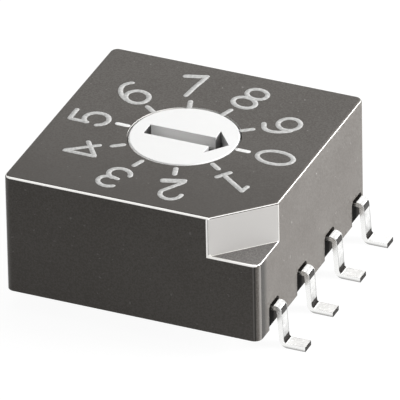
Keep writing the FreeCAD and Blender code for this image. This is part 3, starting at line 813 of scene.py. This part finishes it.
at_foot_top = near(tree, z, FOOT_TOP)
foot_face = every(tree, on_face, at_foot_top)
plating = blend_colors(tree, product(tree, foot_face, FOOT_TOP_SHARE), plating, FOOT_TOP_COLOR)
print("plating between two tones, with wear, sides and foot tops")

# %% [markdown]
# ## Finishing the leads
#
# Bright tin is all mirror, so it shows whatever stands round it. The dark patches, bare ends, painted
# shade and painted dark reflections, would shine with it, so they are no metal here and stay dull,
# and the flat tops are only a little metallic, which keeps them as white as the milky plating looks
# in soft light.

# %% Finish the leads' shader
SHOULDER_REFLECTION_COLOR = (0.03, 0.029, 0.028)
BARE_METAL_AND_SHADE_COLOR = (0.012, 0.011, 0.01)
PLATED_SPECULAR = 0.5
BARE_AND_SHADED_SPECULAR = 0.05
TOP_DULLNESS = 0.85
TIN_ROUGHNESS = (0.18, 0.32)
TIN_PATCH_SIZE = 0.2 * MM
TIN_GRAIN_SIZE = 0.1 * MM

# Painted dark reflection under the shoulder.
plating = blend_colors(tree, shoulder_reflection, plating, SHOULDER_REFLECTION_COLOR)
# Bare ends, painted shade and painted dark reflections all get one near-black.
feed(tree, shader.inputs["Base Color"], blend_colors(tree, black, plating, BARE_METAL_AND_SHADE_COLOR))
feed(tree, shader.inputs["Specular IOR Level"], switch(tree, dark, PLATED_SPECULAR, BARE_AND_SHADED_SPECULAR))
flat_tops = every(tree, on_face, either(tree, beyond(tree, z, SHOULDER - SLACK), at_foot_top))
dull = either(tree, dark, product(tree, flat_tops, TOP_DULLNESS))
feed(tree, shader.inputs["Metallic"], less(tree, 1.0, dull))
patches = remap(tree, noise(tree, TIN_PATCH_SIZE, detail=2.0), NOISE_SPAN, TIN_ROUGHNESS)
feed(tree, shader.inputs["Roughness"], patches)
bump(tree, shader, noise(tree, TIN_GRAIN_SIZE, detail=3.0), strength=0.2, distance=0.004 * MM)
print("terminal tin made with", len(tree.nodes), "nodes")

# %% [markdown]
# ## The pieces inside
#
# Nobody sees them while the switch is whole, but the model can be taken apart, so the base, the seal,
# the code disc and the springs have finishes of their own, chosen after what such pieces are usually made
# of. Two recipes do for the four: a dull one, whose grain is also its relief, and a metal one, whose haze
# is also its roughness.

# %% Materials of the inner pieces


def dull_finish(name, color, tones, roughness, grain_size, detail, relief, specular=0.5):
    """A dull material: one noise blends its two tones and raises its relief, a strength and a height."""
    made, tree, shader = material(name, color, roughness, specular=specular)
    grain = noise(tree, grain_size, detail)
    feed(tree, shader.inputs["Base Color"], blend_colors(tree, grain, *tones))
    bump(tree, shader, grain, *relief)
    return made


def metal_finish(name, color, tones, roughness, haze_size, detail, roughness_range):
    """A metal: one noise blends its two tones and varies its roughness."""
    made, tree, shader = material(name, color, roughness, metallic=1.0)
    haze = noise(tree, haze_size, detail)
    feed(tree, shader.inputs["Base Color"], blend_colors(tree, haze, *tones))
    feed(tree, shader.inputs["Roughness"], remap(tree, haze, NOISE_SPAN, roughness_range))
    return made


base_plastic = dull_finish(
    "base_plastic",
    color=(0.012, 0.011, 0.01),
    tones=((0.009, 0.008, 0.007), (0.015, 0.014, 0.013)),
    roughness=0.7,
    grain_size=0.08 * MM,
    detail=3.0,
    relief=(0.3, 0.005 * MM),
    specular=0.08,
)
rubber = dull_finish(
    "seal_rubber",
    color=(0.03, 0.03, 0.03),
    tones=((0.024, 0.024, 0.024), (0.04, 0.04, 0.04)),
    roughness=0.6,
    grain_size=0.05 * MM,
    detail=2.0,
    relief=(0.2, 0.003 * MM),
)
gold = metal_finish(
    "code_disc_gold",
    color=(0.9, 0.68, 0.3),
    tones=((0.86, 0.63, 0.27), (0.94, 0.73, 0.36)),
    roughness=0.25,
    haze_size=0.3 * MM,
    detail=3.0,
    roughness_range=(0.2, 0.34),
)
steel = metal_finish(
    "spring_steel",
    color=(0.6, 0.6, 0.6),
    tones=((0.52, 0.52, 0.53), (0.68, 0.68, 0.67)),
    roughness=0.3,
    haze_size=0.1 * MM,
    detail=4.0,
    roughness_range=(0.24, 0.4),
)
print("inner materials made:", base_plastic.name, rubber.name, gold.name, steel.name)

# %% [markdown]
# ## Giving each piece its finish
#
# The parts of the real switch differ in material, not only in colour, and each part is one node here. A
# material could be picked for every node by hand, but their names already say what they are, so a short
# table of how the names start is enough.

# %% Assign the materials
FINISHES = {
    "housing": plastic,
    "base": base_plastic,
    "rotor": white,
    "o_ring": rubber,
    "code_disc": gold,
    "detent_spring": steel,
    "terminal": tin,
}
for name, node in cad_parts.items():
    finish = next(made for start, made in FINISHES.items() if name.startswith(start))
    node.data.materials.clear()
    node.data.materials.append(finish)
bright_names = {f"tick_{position}" for position in BRIGHT_TICKS}
for piece in legend:
    piece.data.materials.append(bright_ink if piece.name in bright_names else ink)
print("finishes given to", len(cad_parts), "nodes and", len(legend), "printed pieces")

# %% [markdown]
# ## The table
#
# The switch stands on a white table. Lit white paper would turn grey away from the lamps, so the camera
# sees a table that glows almost white and adds a small share of the light that falls on it, which keeps the
# switch's shadow. Reflections see it pure white, and all other light meets plain paper.

# %% Table
TABLE_SIZE = 0.6
PAPER = 0.5
SHADOW_SHARE = 0.1
TABLE_GLOW = 0.94

half = TABLE_SIZE / 2
corners = [(-half, -half, FEET), (half, -half, FEET), (half, half, FEET), (-half, half, FEET)]
table_mesh = bpy.data.meshes.new("table")
table_mesh.from_pydata(corners, [], [(0, 1, 2, 3)])
table = bpy.data.objects.new("table", table_mesh)
bpy.context.scene.collection.objects.link(table)
print(f"table {TABLE_SIZE:.1f} m wide at height {FEET / MM:.2f} mm")

# %% Table material


def glow(tree, strength):
    """White light of an even strength."""
    node = tree.nodes.new("ShaderNodeEmission")
    node.inputs["Strength"].default_value = strength
    return node.outputs[0]


def choose(tree, factor, first, second):
    """One shader or another, by a factor of 0 or 1."""
    node = tree.nodes.new("ShaderNodeMixShader")
    for socket, value in zip(node.inputs, (factor, first, second)):
        tree.links.new(value, socket)
    return node.outputs[0]


paper, tree, shader = material("table_paper", (PAPER, PAPER, PAPER), roughness=0.9, specular=0.1)
lit = tree.nodes.new("ShaderNodeBsdfDiffuse")
feed(tree, lit.inputs["Color"], (SHADOW_SHARE, SHADOW_SHARE, SHADOW_SHARE))
seen = tree.nodes.new("ShaderNodeAddShader")
feed(tree, seen.inputs[0], glow(tree, TABLE_GLOW))
feed(tree, seen.inputs[1], lit.outputs[0])
path = tree.nodes.new("ShaderNodeLightPath")
reflected = choose(tree, path.outputs["Is Glossy Ray"], shader.outputs[0], glow(tree, 1.0))
surface = choose(tree, path.outputs["Is Camera Ray"], reflected, seen.outputs[0])
output = next(node for node in tree.nodes if node.type == "OUTPUT_MATERIAL")
feed(tree, output.inputs["Surface"], surface)
table_mesh.materials.append(paper)
print("table material made")

# %% [markdown]
# ## The room
#
# The room is white for the camera and in reflections, so black plastic and tin mirror a bright surround,
# but it lights the parts only faintly, so that the shaded walls stay dark. The light path node tells the
# two apart.

# %% Surroundings
ROOM_LIGHT = 0.25

world = bpy.data.worlds.new("studio")
bpy.context.scene.world = world
world.use_nodes = True
tree = world.node_tree
sky = tree.nodes["Background"]
feed(tree, sky.inputs["Color"], (1.0, 1.0, 1.0))
path = tree.nodes.new("ShaderNodeLightPath")
shows_white = either(tree, path.outputs["Is Camera Ray"], path.outputs["Is Glossy Ray"])
feed(tree, sky.inputs["Strength"], switch(tree, shows_white, ROOM_LIGHT, 1.0))
bpy.context.scene.view_settings.view_transform = "Standard"
print("room light", ROOM_LIGHT)

# %% [markdown]
# ## The lamps
#
# Two big soft lamps stand near the switch, as softboxes do for small goods: a strong one low on the right,
# so the right wall is bright and the front wall dark, and a weak one above. Spot lights would throw hard
# shadows of the leads.

# %% Lamps


def unit(vector):
    """A vector of the same direction and a length of one."""
    return vector / np.linalg.norm(vector)


def stand(thing, right, up, back, spot):
    """Puts a lamp or a camera at a spot, turned so that its own three axes are right, up and back."""
    place = np.eye(4)
    place[:3, :] = np.stack([right, up, back, spot], axis=1)
    thing.matrix_world = Matrix(place.tolist())
    bpy.context.scene.collection.objects.link(thing)


def lamp(name, direction, distance, size, power):
    """A square soft lamp that looks at the switch from a direction."""
    data = bpy.data.lights.new(name, "AREA")
    data.shape = "SQUARE"
    data.size = size
    data.energy = power
    towards = unit(np.array(direction, dtype=float))
    side = unit(np.cross((0.0, 0.0, 1.0), towards))
    rise = np.cross(towards, side)
    stand(bpy.data.objects.new(name, data), side, rise, towards, towards * distance)


lamp("side_softbox", (0.9, 0.35, 0.22), distance=0.14, size=0.08, power=0.625)
lamp("top_softbox", (0.05, 0.25, 1.0), distance=0.14, size=0.10, power=0.072)
print("lamps:", [light.name for light in bpy.data.lights])

# %% [markdown]
# ## The camera
#
# Parallel edges stay almost parallel in the photograph, as from far away through a long lens. Three angles
# turn the camera, and the point it looks at is given by how far it lies to the right of and above the
# middle of the housing's underside, as the camera sees it.

# %% Camera
AZIMUTH = 23.766
ELEVATION = 30.938
ROLL = -1.099
DISTANCE = 400 * MM
PIXELS_PER_METRE = 27969.0
AIM_RIGHT = 0.478 * MM
AIM_UP = 1.766 * MM
IMAGE_WIDTH = 400
SENSOR = 36.0
CLIP_START = 0.02
CLIP_END = 5.0

azimuth, elevation, roll = np.radians((AZIMUTH, ELEVATION, ROLL))
level_right = np.array([np.cos(azimuth), np.sin(azimuth), 0.0])
level_back = np.array([np.sin(azimuth), -np.cos(azimuth), 0.0])
back = np.cos(elevation) * level_back + np.array([0.0, 0.0, np.sin(elevation)])
level_up = np.cross(back, level_right)
right = np.cos(roll) * level_right + np.sin(roll) * level_up
up = -np.sin(roll) * level_right + np.cos(roll) * level_up
aim = np.array([0.0, 0.0, housing_low[2]]) + AIM_RIGHT * right + AIM_UP * up

lens = bpy.data.cameras.new("camera")
lens.sensor_width = SENSOR
lens.lens = PIXELS_PER_METRE * DISTANCE / IMAGE_WIDTH * SENSOR
lens.clip_start = CLIP_START
lens.clip_end = CLIP_END
camera = bpy.data.objects.new("camera", lens)
stand(camera, right, up, back, aim + DISTANCE * back)
bpy.context.scene.camera = camera
print(f"lens {lens.lens:.0f} mm at {DISTANCE:.2f} m")

# %% [markdown]
# ## The end
#
# The last cell only prints that the scene is done.

# %% Finish
print("scene done")
